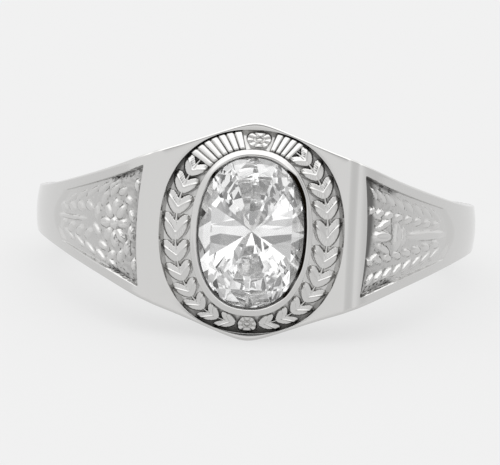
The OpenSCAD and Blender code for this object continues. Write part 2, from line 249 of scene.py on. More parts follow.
# Handle, collar, bowl and flame, then the flame's sides, then the laurel
TORCH = (
    [[0.66, 0, 0.26, 0.1, 0, 1],
     [0.42, 0, 0.03, 0.2, 0, 0.9],
     [0.36, 0, 0.045, 0.3, 0, 1],
     [0.2, 0, 0.13, 0.12, 0, 1]]
    + [[0.22, 0.2 * side, 0.1, 0.08, 20 * side, 0.9] for side in SIDES]
    + [[0.14, 0.34 * side, 0.07, 0.06, -20 * side, 0.7] for side in SIDES]
    + [laurel_leaf(side, out, i) for side in SIDES for i in range(LAUREL_LEAVES) for out in SIDES]
)
# Bead, petals and outer leaves, then the sprays towards the far end, the corners and the tip
ROSETTE = (
    [[ROSETTE_CENTRE, 0, 0.045, 0.12, 0, 1]]
    + round_centre(range(0, 360, 45), 0.095, 0.27, 0.06, 0.1, 0, 0.9)
    + round_centre(range(15, 360, 30), 0.2, 0.56, 0.055, 0.08, 60, 0.8)
    + [[0.36 + 0.12 * i, side * (0.65 - 0.09 * i), 0.065, 0.07, -30 * side, 0.8]
       for side in SIDES for i in range(5)]
    + [[0.58 + 0.1 * i, side * (0.23 - 0.03 * i), 0.065, 0.08, 25 * side, 0.8]
       for side in SIDES for i in range(4)]
    + [[0.07, 0.66 * side, 0.05, 0.11, 40 * side, 0.7] for side in SIDES]
    + [[0.76, 0, 0.2, 0.05, 0, 0.9]]
)
# A dome's sides are steeper with more rise. A crease runs along its middle, with its depth and
# half width as shares of the dome's
DOME_RISE = 1.2
CREASE_RISE = 2
CREASE_DEPTH = 0.1
CREASE_HALF = 0.16
panel_corner = np.array(shoulder(PANEL_START))
PANEL_LEN = float(np.linalg.norm(np.array(shoulder(PANEL_END)) - panel_corner))
PANEL_HALF = float(half_width(panel_corner[0])) - PANEL_FRAME


def relief(share, z, motifs):
    """Height of a panel's relief, from 0 to 1, at a share of its length and z mm across."""
    top = np.zeros_like(z)
    for centre_l, centre_w, half_l, half_w, turn, height in motifs:
        cos, sin = math.cos(math.radians(turn)), math.sin(math.radians(turn))
        along, across = (share - centre_l) * PANEL_LEN, z - centre_w * PANEL_HALF
        u = (along * cos + across * sin) / (half_l * PANEL_LEN)
        v = (across * cos - along * sin) / (half_w * PANEL_HALF)
        inside = np.clip(1 - u * u - v * v, 0, 1)
        crease = CREASE_DEPTH * np.exp(-((v / CREASE_HALF) ** 2)) * smooth(inside * CREASE_RISE)
        top = np.maximum(top, height * (smooth(inside * DOME_RISE) - crease))
    return top


# Meshes
def mesh_piece(name, points, faces, material, marks=None, angle=40):
    """A piece from points in the ring's frame. marks names values at each point for the material."""
    mesh = bpy.data.meshes.new(name)
    mesh.from_pydata(place(points).tolist(), [], faces)
    mesh.validate()
    piece = bpy.data.objects.new(name, mesh)
    bpy.context.collection.objects.link(piece)
    for mark, values in (marks or {}).items():
        layer = mesh.attributes.new(mark, "FLOAT", "POINT")
        layer.data.foreach_set("value", np.asarray(values, dtype=np.float32))
    solid = bmesh.new()
    solid.from_mesh(mesh)
    bmesh.ops.recalc_face_normals(solid, faces=solid.faces)
    solid.to_mesh(mesh)
    solid.free()
    mesh.polygons.foreach_set("use_smooth", [True] * len(mesh.polygons))
    mesh.set_sharp_from_angle(angle=math.radians(angle))
    mesh.materials.append(material)
    return piece


def loop_faces(rows, cols):
    """Quads over a grid whose points run row by row, closed both ways."""
    out = []
    for i in range(rows):
        for j in range(cols):
            i2, j2 = (i + 1) % rows, (j + 1) % cols
            out.append((i * cols + j, i * cols + j2, i2 * cols + j2, i2 * cols + j))
    return out


# Walls of a sunk panel: distance outside its edge, and share of its depth there
WALL = ((0.04, 0.0), (0.012, 0.1), (0.0, 0.45), (-0.02, 0.9), (-0.05, 1.0), (-0.09, 1.0))
WALL_TOP = WALL[0][0]
WALL_FOOT = WALL[-1][0]
FACE_COLUMNS = 84
FRAME_COLUMNS = (0.2, 0.5, 0.8, 1.0)
# Rows over the head's top, the step, the shoulder before, in and after the panel, and the back
HEAD_ROWS = 26
STEP_ROWS = 14
PRE_ROWS = 8
PANEL_ROWS = 150
POST_ROWS = 18
BACK_ROWS = 80


def face_columns():
    """Columns of the outer face, as four rows of values: share of the panel's half width, mm
    beyond that, share of the frame beside the panel, and share of the panel's depth."""
    inside = [(share, abs(share) * WALL_FOOT, 0.0, 1.0) for share in np.linspace(-1, 1, FACE_COLUMNS)]
    wall = [(1.0, distance, 0.0, depth) for distance, depth in reversed(WALL[:-1])]
    rim = [(1.0, WALL_TOP, share, 0.0) for share in FRAME_COLUMNS]
    right = wall + rim
    left = [(-column[0], *column[1:]) for column in reversed(right)]
    return np.array(left + inside + right).T


def steps(count):
    """Shares from just above 0 up to 1, in even steps."""
    return np.linspace(0, 1, count + 1)[1:]


def station(x, y, spot=None, normal=None):
    """A row across the outer face, as its columns' angles, radii and half widths. In a panel it
    also has its shares of the panel's length and depth, and its outward direction."""
    return np.arctan2(x, y), np.hypot(x, y), half_width(x), spot, normal


def head_stations(across):
    """Rows from the head's middle over its flat top and down the step."""
    spots = [(x, RIM_Y) for x in np.linspace(0, HEAD_FLAT, HEAD_ROWS)]
    spots += [step_point(t) for t in steps(STEP_ROWS)]
    return [station(np.full_like(across, x), np.full_like(across, y)) for x, y in spots]


def shoulder_stations(across):
    """Rows down the shoulder: before the panel, over it and its end walls, and after it."""
    start = PANEL_START + START_BOW * (1 - across**2) * PANEL_END
    end = PANEL_END - END_BOW * across**2 * PANEL_END
    lead = WALL_TOP / PANEL_LEN
    out = []
    for share in steps(PRE_ROWS):
        out.append(station(*shoulder((start - lead * (PANEL_END - PANEL_START)) * share)))
    wall = [(-distance / PANEL_LEN, depth) for distance, depth in WALL[1:]]
    foot = wall[-1][0]
    floor = [(share, 1.0) for share in np.linspace(foot, 1 - foot, PANEL_ROWS)[1:-1]]
    for spot in wall + floor + [(1 - share, depth) for share, depth in reversed(wall)]:
        t = mix(start, end, spot[0])
        out.append(station(*shoulder(t), spot, shoulder_normal(t)))
    for share in steps(POST_ROWS):
        out.append(station(*shoulder(mix(end, 1, mix(lead, 1, share)))))
    return out


def back_stations(across):
    """Rows from the band's side to the middle of its back."""
    out = []
    for t in steps(BACK_ROWS):
        angle, radius = math.radians(mix(90, 180, t)), mix(SIDE_R, BACK_R, t)
        width = mix(half_width(SIDE_R), BACK_WIDTH / 2, t)
        row = [np.full_like(across, value) for value in (angle, radius, width)]
        out.append((*row, None, None))
    return out


def panel_surface(share, sunk, z, inner, motifs, shadow_strip):
    """A row of a panel: its height over the band's face, its darkening with painted shade and shadow,
    and its stipple.
    inner is the panel's half width, and sunk is each column's share of the depth."""
    groove = np.interp(share, GROOVE_AT, GROOVE) * smooth(1 - (inner - np.abs(z)) / GROOVE_WIDTH)
    # The relief rises from the lower half of the walls
    raised = relief(share, z, motifs) * smooth(2 * sunk - 1) * (1 - groove)
    floor = (PANEL_DEPTH + GROOVE_DEPTH * groove) * sunk
    rise = 1 - smooth((share - FAR_RISE) / (1 - FAR_RISE))
    lift = (raised * RELIEF_H - floor) * (1 - PANEL_FADE * share) * rise
    # The painted shadow strip is full over half its width and fades over the rest
    shadow_strip_width = SHADOW_STRIP * (1 + SHADOW_STRIP_TAPER * z / inner)
    in_shadow_strip = shadow_strip * smooth(2 - 2 * share / shadow_strip_width)
    # Painted shade darkens the groove and painted shadow the strip, and both fade off the raised relief
    tone = np.maximum(np.interp(share, PANEL_TONE_AT, PANEL_TONE), groove)
    dark = np.maximum(tone, in_shadow_strip) * sunk * (1 - smooth(raised * PANEL_RAISED_FADE))
    return lift, dark, dark * (1 - in_shadow_strip)


def half_band(motifs, shadow_strip):
    """Rows of points from the middle of the head round one side to the middle of the back, with
    their darkening, partly painted shade and shadow, and stipple."""
    across, beyond, frame_share, depth = face_columns()
    points, ground, grain = [], [], []
    stations = head_stations(across) + shoulder_stations(across) + back_stations(across)
    for angle, radius, width, spot, normal in stations:
        fall = np.interp(np.degrees(angle), CROWN_ANGLE, CROWN_FALL)
        inner, flat = width - PANEL_FRAME, width - EDGE_R
        z = np.sign(across) * mix(np.abs(across) * inner + beyond, flat, frame_share)
        r = radius - fall * (z / width) ** 2
        x, y = r * np.sin(angle), r * np.cos(angle)
        dark, rough = np.zeros_like(across), np.zeros_like(across)
        if spot:
            lift, dark, rough = panel_surface(spot[0], spot[1] * depth, z, inner, motifs, shadow_strip)
            x, y = x + normal[0] * lift, y + normal[1] * lift
        near = side_points(angle[-1], radius[-1], width[-1], fall[-1])
        far = side_points(angle[0], radius[0], width[0], fall[0]) * np.array([1, 1, -1])
        points.append(np.concatenate([np.stack([x, -y, z], axis=-1), near, far[::-1]]))
        sides = np.zeros(len(near) + len(far))
        ground.append(np.concatenate([dark, sides]))
        grain.append(np.concatenate([rough, sides]))
    return np.array(points), np.array([ground, grain])


EDGE_STEPS = 6
SIDE_STEPS = 5
BEVEL_STEPS = 4
BORE_STEPS = 4


def side_points(angle, radius, width, fall):
    """Points from the outer face's edge down the side and into the finger hole, at one row."""
    flat = width - EDGE_R
    r_edge = radius - fall * (flat / width) ** 2 - EDGE_R
    bevel_r = FINGER_R + HOLE_BEVEL
    bevel_z = width - (r_edge - bevel_r) * math.tan(SIDE_DRAFT)
    out = []
    for t in steps(EDGE_STEPS):
        a = math.pi / 2 * t
        out.append((r_edge + EDGE_R * math.cos(a), flat + EDGE_R * math.sin(a)))
    for t in steps(SIDE_STEPS):
        out.append((mix(r_edge, bevel_r, t), mix(width, bevel_z, t)))
    for t in steps(BEVEL_STEPS):
        a = math.pi / 2 * t
        out.append((bevel_r - HOLE_BEVEL * math.sin(a), bevel_z - HOLE_BEVEL * (1 - math.cos(a))))
    mouth = out[-1][1]
    spacing = 2 * mouth / (2 * BORE_STEPS + 1)
    for i in range(1, BORE_STEPS + 1):
        out.append((FINGER_R, mouth - spacing * i))
    return np.array([(r * math.sin(angle), -r * math.cos(angle), z) for r, z in out])


# The head's hollow goes from the border's pocket, whose edge is bevelled and softened, down the
# stone's seat to the window
POCKET_FLOOR = RIM_Y - 0.5
POCKET_BEVEL = 0.1
BEVEL_ALONG = 0.25
POCKET_A = BORDER_A + POCKET_BEVEL
POCKET_B = BORDER_B + POCKET_BEVEL * BEVEL_ALONG
# The softened edge: how far it lies in and down, and the share of that run along the finger
SOFT_IN = (0.02, 0.03)
SOFT_DOWN = (0.005, 0.02)
SOFT_ALONG = 0.4
SEAT_OPEN = 0.95
SEAT_FOOT_B = STONE_B - 1.8
SEAT_FOOT_Y = SEAT_BOTTOM + 0.2
WINDOW_TOP = SEAT_BOTTOM - 0.1
WINDOW_FOOT = FINGER_R + 0.3
# Ovals of [half width, half length, height, share of the border's patina and painted shade, fullness].
# The last has no height, since it lies on the finger hole's wall
HOLLOW = (
    (POCKET_A, POCKET_B, RIM_Y, 0, FULLNESS),
    (POCKET_A - SOFT_IN[0], POCKET_B - SOFT_IN[0] * SOFT_ALONG, RIM_Y - SOFT_DOWN[0], 0, FULLNESS),
    (POCKET_A - SOFT_IN[1], POCKET_B - SOFT_IN[1] * SOFT_ALONG, RIM_Y - SOFT_DOWN[1], 0.5, FULLNESS),
    (BORDER_A, BORDER_B, RIM_Y - POCKET_BEVEL, 0.8, FULLNESS),
    (BORDER_A, BORDER_B, POCKET_FLOOR, 1, FULLNESS),
    (STONE_A - SEAT_OPEN, STONE_B - SEAT_OPEN, POCKET_FLOOR, 0, FULLNESS),
    (WINDOW_R, SEAT_FOOT_B, SEAT_FOOT_Y, 0, 2),
    (WINDOW_R, WINDOW_R, WINDOW_TOP, 0, 2),
    (WINDOW_R, WINDOW_R, WINDOW_FOOT, 0, 2),
    (WINDOW_R, WINDOW_R, None, 0, 2),
)
# Rows each side of the head's middle that the window breaks into
WINDOW_ROWS = 12


def by_angle(loop, points):
    """A loop of points round the head's axis in order of angle, with the angles, closed."""
    angle = np.arctan2(points[loop, 0], points[loop, 2])
    order = np.argsort(angle)
    return [loop[k] for k in order], list(angle[order]) + [angle[order[0]] + 2 * math.pi]


def zip_loops(first, second, points):
    """Triangles between two loops of points round the head's axis, matched by angle."""
    a, turn_a = by_angle(first, points)
    b, turn_b = by_angle(second, points)
    i = j = 0
    faces = []
    while i < len(a) or j < len(b):
        if j == len(b) or (i < len(a) and turn_a[i + 1] <= turn_b[j + 1]):
            faces.append((a[i % len(a)], a[(i + 1) % len(a)], b[j % len(b)]))
            i += 1
        else:
            faces.append((a[i % len(a)], b[(j + 1) % len(b)], b[j % len(b)]))
            j += 1
    return faces


def outline_of(first_row, last_row, first_col, last_col, rows, cols):
    """Indices of the points round a patch of the band's grid, whose rows may pass row 0."""
    down = list(range(first_row, last_row + 1))
    across = list(range(first_col + 1, last_col))
    spots = [(i, first_col) for i in down] + [(last_row, j) for j in across]
    spots += [(i, last_col) for i in reversed(down)] + [(first_row, j) for j in reversed(across)]
    return [i % rows * cols + j for i, j in spots]


def sink_hollow(points, edge):
    """Adds the hollow's rings inside a loop of points. Gives all the points, the new faces, the new
    points' patina and painted shade and the last ring."""
    rim, count = points[edge], len(edge)
    faces, tones = [], []
    for half_x, half_z, height, dark, fullness in HOLLOW:
        spread = np.abs(rim[:, 0] / half_x) ** fullness + np.abs(rim[:, 2] / half_z) ** fullness
        scale = spread ** (-1 / fullness)
        x, z = rim[:, 0] * scale, rim[:, 2] * scale
        y = -np.sqrt(FINGER_R**2 - x * x) if height is None else np.full(count, -height)
        ring = list(range(len(points), len(points) + count))
        points = np.concatenate([points, np.stack([x, y, z], axis=-1)])
        angle = np.degrees(np.arctan2(x, z)) % 360
        tones.append(dark * np.interp(angle, PATINA_AND_SHADE_ANGLE, PATINA_AND_SHADE))
        for k in range(count):
            n = (k + 1) % count
            faces.append((edge[k], edge[n], ring[n], ring[k]))
        edge = ring
    return points, faces, np.concatenate(tones), edge


def band_casting(metal):
    """Shank, shoulders and head, with a sunk relief panel on each shoulder and the head's hollow."""
    right, right_marks = half_band(TORCH, TORCH_SHADOW_STRIP)
    left, left_marks = half_band(ROSETTE, ROSETTE_SHADOW_STRIP)
    left = left * np.array([-1, 1, 1])
    rows, cols = len(right) * 2 - 2, right.shape[1]
    points = np.concatenate([right, left[-2:0:-1]]).reshape(-1, 3)
    ground, grain = np.concatenate([right_marks, left_marks[:, -2:0:-1]], axis=1).reshape(2, -1)
    last_face = len(face_columns()[0]) - 1
    bore = last_face + EDGE_STEPS + SIDE_STEPS + BEVEL_STEPS + 1
    last_bore = bore + 2 * BORE_STEPS - 1

    def is_open(row, col):
        row = row if row < rows / 2 else row - rows
        in_top = -HEAD_ROWS < row < HEAD_ROWS - 1 and col < last_face
        in_window = -WINDOW_ROWS <= row < WINDOW_ROWS and bore <= col < last_bore
        return in_top or in_window

    faces = [quad for k, quad in enumerate(loop_faces(rows, cols)) if not is_open(*divmod(k, cols))]
    edge = outline_of(1 - HEAD_ROWS, HEAD_ROWS - 1, 0, last_face, rows, cols)
    window = outline_of(-WINDOW_ROWS, WINDOW_ROWS, bore, last_bore, rows, cols)
    points, hollow_faces, tones, last_ring = sink_hollow(points, edge)
    faces += hollow_faces + zip_loops(last_ring, window, points)
    ground = np.concatenate([ground, tones])
    grain = np.concatenate([grain, np.zeros(len(tones))])
    # Points of the patches that were opened are left over, so they go
    used = sorted({k for face in faces for k in face})
    index = {k: n for n, k in enumerate(used)}
    faces = [tuple(index[k] for k in face) for face in faces]
    marks = {"ground": ground[used], "grain": grain[used]}
    return mesh_piece("band_casting", points[used], faces, metal, marks)


# The border's ornament. A row gives its place as a share of the way to the bezel, the heights of
# the flutes and the leaves, and a leaf's half width and forward lean as shares of its cell
INWARD, FLUTE_H, LEAF_H, LEAF_W, LEAN = range(5)
ROWS = np.array([
    [-0.02, 0, 0, 0.08, 0.8],
    [0.03, 0.9, 0, 0.08, 0.8],
    [0.1, 1, 0.9, 0.3, 0.76],
    [0.24, 1, 1, 0.45, 0.6],
    [0.42, 1, 0.9, 0.45, 0.38],
    [0.5, 1, 0.9, 0.34, 0.26],
    [0.58, 1, 0.9, 0.45, 0.38],
    [0.76, 1, 1, 0.45, 0.6],
    [0.9, 1, 0.9, 0.3, 0.76],
    [0.96, 0.9, 0, 0.08, 0.8],
    [1.06, 0, 0, 0.08, 0.8],
])
# The rows are blurred over these distances, so that the forms have no kinks
ROW_BLUR = (-0.04, -0.02, 0, 0.02, 0.04)
# Runs of ornament round the border: first angle, last angle, cells, kind, way the leaves lean
RUNS = (
    (-44, -7, 7, "flutes", 0),
    (-7, 11, 1, "boss", 0),
    (11, 30, 4, "flutes", 0),
    (30, 173, 11, "leaves", -1),
    (173, 187, 1, "boss", 0),
    (187, 316, 10, "leaves", 1),
)
BORDER_ANGLES = 1400
BORDER_ROWS = 58
BORDER_SHARP = 80
MIDDLE = 0.5
# Width in mm of the walls of leaves and bosses
FORM_WALL = 0.05
# Flutes: half width as a share of the cell, how square their tops are, and the height of the
# groove between two and of their tops
FLUTE_W = 0.48
FLUTE_SQUARE = 4
FLUTE_GROOVE = 0.5
FLUTE_TOP = 0.95
# Leaves: height at the sides, and what the middle, the rib and the veins add to it, the rib's half
# width in mm, how many veins cross the border's width and how they lean, and the height and half
# width of the stem
LEAF_SIDE = 0.78
LEAF_CROWN = 0.1
RIB_H = 0.12
RIB_W = 0.035
VEIN_H = 0.03
VEINS = 16
VEIN_LEAN = 1.2
STEM_H = 0.8
STEM_W = 0.06
# A boss's half width as a share of its cell, its half length as a share of the way to the bezel,
# and the radius of its bead as a share of both. The square of its narrowing ends at the least
# value, so that it is never nothing. Petals rise round the bead, with their number and heights
BOSS_HALF = 0.42
BOSS_REACH = 0.46
BOSS_LEAST = 0.01
BEAD_R = 0.36
PETALS = 8
PETAL_BASE = 0.5
PETAL_H = 0.3
PETAL_START = 0.1


def along_rows(inward, column):
    return np.mean([np.interp(inward + d, ROWS[:, INWARD], ROWS[:, column]) for d in ROW_BLUR], axis=0)


def walled(inward, across, half_mm, top):
    """A leaf's or boss's height with its walls. across runs from -1 to 1 between them."""
    wall = smooth((1 - np.abs(across)) * half_mm / FORM_WALL)
    return along_rows(inward, LEAF_H) * wall * top


def flute_form(inward, share):
    """Radial flutes, with a rounded top and a groove between two."""
    top = np.sqrt(np.clip(1 - ((share - MIDDLE) / FLUTE_W) ** FLUTE_SQUARE, 0, 1))
    return along_rows(inward, FLUTE_H) * mix(FLUTE_GROOVE, FLUTE_TOP, top)


def leaf_form(inward, share, cell_mm, way):
    """Pairs of leaves that lean forward from a stem, with a raised rib and faint veins."""
    half = along_rows(inward, LEAF_W)
    across = (share - MIDDLE - way * (along_rows(inward, LEAN) - MIDDLE)) / half
    away = np.clip(np.abs(across), 0, 1)
    rib = np.exp(-((across * half * cell_mm / RIB_W) ** 2))
    veins = np.cos(2 * math.pi * (inward * VEINS - away * VEIN_LEAN)) * away
    top = LEAF_SIDE + LEAF_CROWN * (1 - away) + RIB_H * rib + VEIN_H * veins
    stem = STEM_H * dome((inward - MIDDLE) / STEM_W)
    return np.maximum(walled(inward, across, half * cell_mm, top), stem)


def boss_form(inward, share, cell_mm):
    """An oval boss, with petals round a bead."""
    x, y = (share - MIDDLE) / BOSS_HALF, (inward - MIDDLE) / BOSS_REACH
    half = BOSS_HALF * np.sqrt(np.clip(1 - y**2, BOSS_LEAST, 1))
    radius = np.hypot(x, y)
    petals = np.sqrt(np.abs(np.cos(PETALS / 2 * np.arctan2(y, x))))
    petals = petals * smooth((radius - BEAD_R) / PETAL_START)
    top = np.maximum(PETAL_BASE + PETAL_H * petals, dome(radius / BEAD_R))
    return walled(inward, (share - MIDDLE) / half, half * cell_mm, top)


def border_height(inward, angle):
    """Height of the ornament above its floor, from 0 to 1."""
    height = np.zeros(np.broadcast(inward, angle).shape)
    radius = (BORDER_A + BORDER_B + STONE_A + STONE_B) / 4 + BEZEL_WALL / 2
    for first, last, cells, kind, way in RUNS:
        turn = (angle - first) % 360
        share = turn / (last - first) * cells % 1
        cell_mm = math.radians((last - first) / cells) * radius
        if kind == "flutes":
            form = flute_form(inward, share)
        elif kind == "leaves":
            form = leaf_form(inward, share, cell_mm, way)
        else:
            form = boss_form(inward, share, cell_mm)
        height = np.where(turn < last - first, form, height)
    return height


def border_ornament(metal):
    """The laurel border, its flutes and bosses, round the bezel in the head's pocket."""
    inward = np.linspace(ROWS[0, INWARD], ROWS[-1, INWARD], BORDER_ROWS)[:, None]
    angle = np.linspace(0, 360, BORDER_ANGLES, endpoint=False)[None, :]
    form = border_height(inward, angle)
    half_x = mix(BORDER_A, STONE_A + BEZEL_WALL, inward)
    half_z = mix(BORDER_B, STONE_B + BEZEL_WALL, inward)
    x, z = half_x * full(np.sin(np.radians(angle))), half_z * full(np.cos(np.radians(angle)))
    y = -(RIM_Y + BORDER_SLOPE * inward + BORDER_DEPTH * (form - 1))
    top = np.stack([x, y, z], axis=-1)
    base = top[[-1, 0]] * np.array([1, 0, 1]) - np.array([0, BORDER_BASE, 0])
    grid = np.concatenate([top, base])
    # Patina with painted light and shade by angle, and painted shade beside the raised forms
    patina_and_shade = np.interp(angle, PATINA_AND_SHADE_ANGLE, PATINA_AND_SHADE) * np.ones_like(inward)
    near = np.mean([np.roll(form, k, axis=1) for k in SHADE_REACH], axis=0)
    ground_darkening = np.clip(PATINA_OPEN + SHADE_CLOSE * near, 0, 1) * (1 - smooth(form * BORDER_RAISED_FADE))
    dark = np.concatenate([patina_and_shade * ground_darkening, np.zeros((2, BORDER_ANGLES))])
    faces = loop_faces(len(grid), BORDER_ANGLES)
    marks = {"ground": dark.reshape(-1)}
    return mesh_piece("border_ornament", grid.reshape(-1, 3), faces, metal, marks, BORDER_SHARP)


BEZEL_SIDES = 160
BEZEL_SHARP = 35
BEZEL_CORNER = 0.06
BEZEL_DROP = 0.09
TOP_SHARES = (0.8, 0.6, 0.4, 0.2)
TOP_CURVE = 1.5
MOUTH_ROUND = 0.05
MOUTH_OVER = 0.05
LIP_ROUND = 0.02
ROUND_STEPS = 6
# Where the rim's section ends behind the seat, inside the band's metal
SEAT_END = 0.9
SEAT_OVERLAP = 0.05
# Painted shade: the lip's underside, the seat's first points, is dark, and the rest of the seat is
# nearly bright
LIP_POINTS = 2
SEAT_TONE = 0.1
# The bezel's mouth was pressed over the stone by hand, so it opens wider in places, by angle
MOUTH_ANGLE = (0, 32, 45, 65, 78, 95, 112, 125, 140, 152, 300, 315, 332, 360)
MOUTH_WIDER = (0, 0, 0.13, 0.12, 0.04, 0.04, 0.06, 0.02, 0.05, 0, 0, 0.05, 0, 0)
# How much wider the mouth is where its inside lies all in painted shade, how dark that shade is, how
# far below the top it starts and how many points of the seat it covers
SHADED_AT = 0.04
MOUTH_SHADE = 1.25
SHADE_START = MOUTH_ROUND / 4
SHADE_POINTS = 3


def quarter(margin, height, radius, first):
    """Points round a quarter of a circle, from first degrees, where 0 is away from the stone."""
    turns = np.radians(first + np.linspace(0, 90, ROUND_STEPS))
    return [(margin + radius * math.cos(a), height + radius * math.sin(a)) for a in turns]


def bezel_section():
    """The rim's section, as (mm outside the stone's side, height), in four runs of points: its
    outside, top, mouth and seat."""
    shelf = BEZEL_WALL - BEZEL_CORNER
    shelf_y = BEZEL_Y - BEZEL_DROP - BEZEL_CORNER
    outside = [(BEZEL_WALL, BORDER_BASE)] + quarter(shelf, shelf_y, BEZEL_CORNER, 0)
    top = [(shelf * t, BEZEL_Y - BEZEL_DROP * t**TOP_CURVE) for t in TOP_SHARES]
    mouth = quarter(MOUTH_ROUND - MOUTH_OVER, BEZEL_Y - MOUTH_ROUND, MOUTH_ROUND, 90)
    seat = [
        (-MOUTH_OVER - LIP_ROUND, BEZEL_Y - 2 * MOUTH_ROUND),
        (-LIP_OVER, LIP_Y),
        (STONE_GAP, GIRDLE_Y + GIRDLE_T + STONE_GAP),
        (STONE_GAP, GIRDLE_Y - 2 * STONE_GAP),
        (-SEAT_LEDGE, GIRDLE_Y - SEAT_LEDGE * PAVILION_H / STONE_A - 2 * STONE_GAP),
        (-SEAT_END - 2 * SEAT_OVERLAP, POCKET_FLOOR + SEAT_OVERLAP),
        (-SEAT_END, POCKET_FLOOR - SEAT_OVERLAP),
    ]
    return outside, top, mouth, seat


def bezel_rim(metal):
    """The bezel's wall round the stone, with its rounded top, its lip and the stone's seat."""
    outside, top, mouth, seat = bezel_section()
    margins, heights = np.array(outside + top + mouth + seat).T
    angle = np.linspace(0, 2 * math.pi, BEZEL_SIDES, endpoint=False)
    across, along = full(np.sin(angle)), full(np.cos(angle))
    wider = np.interp(np.degrees(angle), MOUTH_ANGLE, MOUTH_WIDER)
    opening = [0] * len(outside) + [1 - t for t in TOP_SHARES] + [1] * len(mouth) + [0] * len(seat)
    margins = margins[:, None] + np.outer(opening, wider)
    heights = heights[:, None] * np.ones_like(angle)
    grid = np.stack([(STONE_A + margins) * across, -heights, (STONE_B + margins) * along], axis=-1)
    bright = [0.0] * len(outside + top)
    # Painted shade on the lip's underside and seat, and inside the mouth where it opens wider
    tones = bright + [0.0] * len(mouth) + [1.0] * LIP_POINTS + [SEAT_TONE] * (len(seat) - LIP_POINTS)
    deep = [float(height < BEZEL_Y - SHADE_START) for _, height in mouth + seat[:SHADE_POINTS]]
    shade = bright + deep + [0.0] * (len(seat) - SHADE_POINTS)
    in_shade = MOUTH_SHADE * np.outer(shade, np.minimum(1, wider / SHADED_AT))
    marks = {"ground": np.maximum(np.array(tones)[:, None], in_shade).reshape(-1)}
    faces = loop_faces(len(grid), BEZEL_SIDES)
    return mesh_piece("bezel_rim", grid.reshape(-1, 3), faces, metal, marks, BEZEL_SHARP)


# The stone's cut: places of its facets' corners as shares of the half width, and turns in degrees
STAR_REACH = 0.78
LOWER_REACH = 0.26
HALFWAY = 0.5
STONE_SIDES = 96
EIGHTH = 45
GIRDLE_SPAN = 22.5
STONE_SHARP = 0.5
CUT_TOLERANCE = 1e-6
# How far the cutter's hand strays on each lower facet, in mm, and how that changes with its turn
UNEVEN = 0.05
UNEVEN_TURN = 3.7


def crown_at(reach):
    """Height of the crown's main facets at a share of the stone's half width."""
    return GIRDLE_Y + GIRDLE_T + CROWN_H * (1 - reach) / (1 - TABLE)


def pavilion_at(reach):
    """Height of the pavilion's main facets at a share of the stone's half width."""
    return GIRDLE_Y - PAVILION_H * (1 - reach)


def corner(turn, reach, height):
    """A facet's corner, with its turn in degrees and its reach as a share of the stone's half width."""
    a = math.radians(turn)
    return Vector((STONE_A * reach * full(math.sin(a)), STONE_B * reach * full(math.cos(a)), height))


def facet_planes():
    """Each facet's plane as three of its points."""
    half = math.cos(math.radians(GIRDLE_SPAN))
    star_y, lower_y = crown_at(STAR_REACH * half), pavilion_at(LOWER_REACH * half)
    planes = [[corner(turn, TABLE, crown_at(TABLE)) for turn in (0, 120, 240)]]
    for turn in range(0, 360, EIGHTH):
        for side in SIDES:
            tip = turn + side * GIRDLE_SPAN
            stray = UNEVEN * math.sin(tip * UNEVEN_TURN + side)
            upper = STAR_REACH, star_y, crown_at(1)
            lower = LOWER_REACH, lower_y - stray, GIRDLE_Y
            for reach, inner_y, edge_y in (upper, lower):
                edge = [corner(end, 1, edge_y) for end in (turn, tip)]
                planes.append([corner(tip, reach, inner_y)] + edge)
        star = corner(turn + GIRDLE_SPAN, STAR_REACH, star_y)
        planes.append([star] + [corner(end, TABLE, crown_at(TABLE)) for end in (turn, turn + EIGHTH)])
        for height in (crown_at, pavilion_at):
            edge = corner(turn, 1, height(1))
            along = corner(turn + 1, 1, 0) - corner(turn - 1, 1, 0)
            planes.append([edge, corner(turn, HALFWAY, height(HALFWAY)), edge + along])
    return planes


def rough_stone():
    """An oval cylinder that holds the stone."""
    rough = bmesh.new()
    turns = [360 * k / STONE_SIDES for k in range(STONE_SIDES)]
    low, high = [[rough.verts.new(corner(t, 1, h)) for t in turns] for h in (SEAT_BOTTOM, BEZEL_Y)]
    for k in range(STONE_SIDES):
        n = (k + 1) % STONE_SIDES
        rough.faces.new((low[k], low[n], high[n], high[k]))
    rough.faces.new(low[::-1])
    rough.faces.new(high)
    return rough


def oval_stone(glass):
    """An oval brilliant, cut from an oval cylinder one facet at a time."""
    middle = Vector((0, 0, GIRDLE_Y))
    stone = rough_stone()
    for first, second, third in facet_planes():
        normal = (second - first).cross(third - first).normalized()
        if normal.dot(first - middle) < 0:
            normal.negate()
        bmesh.ops.bisect_plane(
            stone, geom=stone.verts[:] + stone.edges[:] + stone.faces[:], dist=CUT_TOLERANCE,
            plane_co=first, plane_no=normal, clear_outer=True)
        rim = [edge for edge in stone.edges if edge.is_boundary]
        if rim:
            bmesh.ops.holes_fill(stone, edges=rim, sides=0)
    stone.verts.index_update()
    points = np.array([(v.co.x, -v.co.z, v.co.y) for v in stone.verts])
    faces = [tuple(v.index for v in face.verts) for face in stone.faces]
    stone.free()
    return mesh_piece("oval_stone_cut", points, faces, glass, angle=STONE_SHARP)


# Materials
METAL_COLOUR = (0.63, 0.626, 0.618, 1)
# The colour of the patina and of the painted shade and shadow
PATINA_AND_SHADE_COLOUR = (0.13, 0.128, 0.125, 1)
# The metal's roughness, from least to most over a fine noise, and what the patina and painted shade add
ROUGHNESS = (0.06, 0.16)
PATINA_AND_SHADE_ROUGHNESS = 0.25
NOISE_SCALE = 900
NOISE_DETAIL = 4
STIPPLE_SCALE = 5500
STIPPLE_DEPTH = 0.00025
STONE_IOR = 2.15
# Past this many reflections inside the stone, fragments of light are added, which have a size, in
# cells a metre, and a weakest and a strongest
REFLECTIONS = 3
FRAGMENTS = (900, 0.0, 0.9)
WHITE = (1, 1, 1, 1)
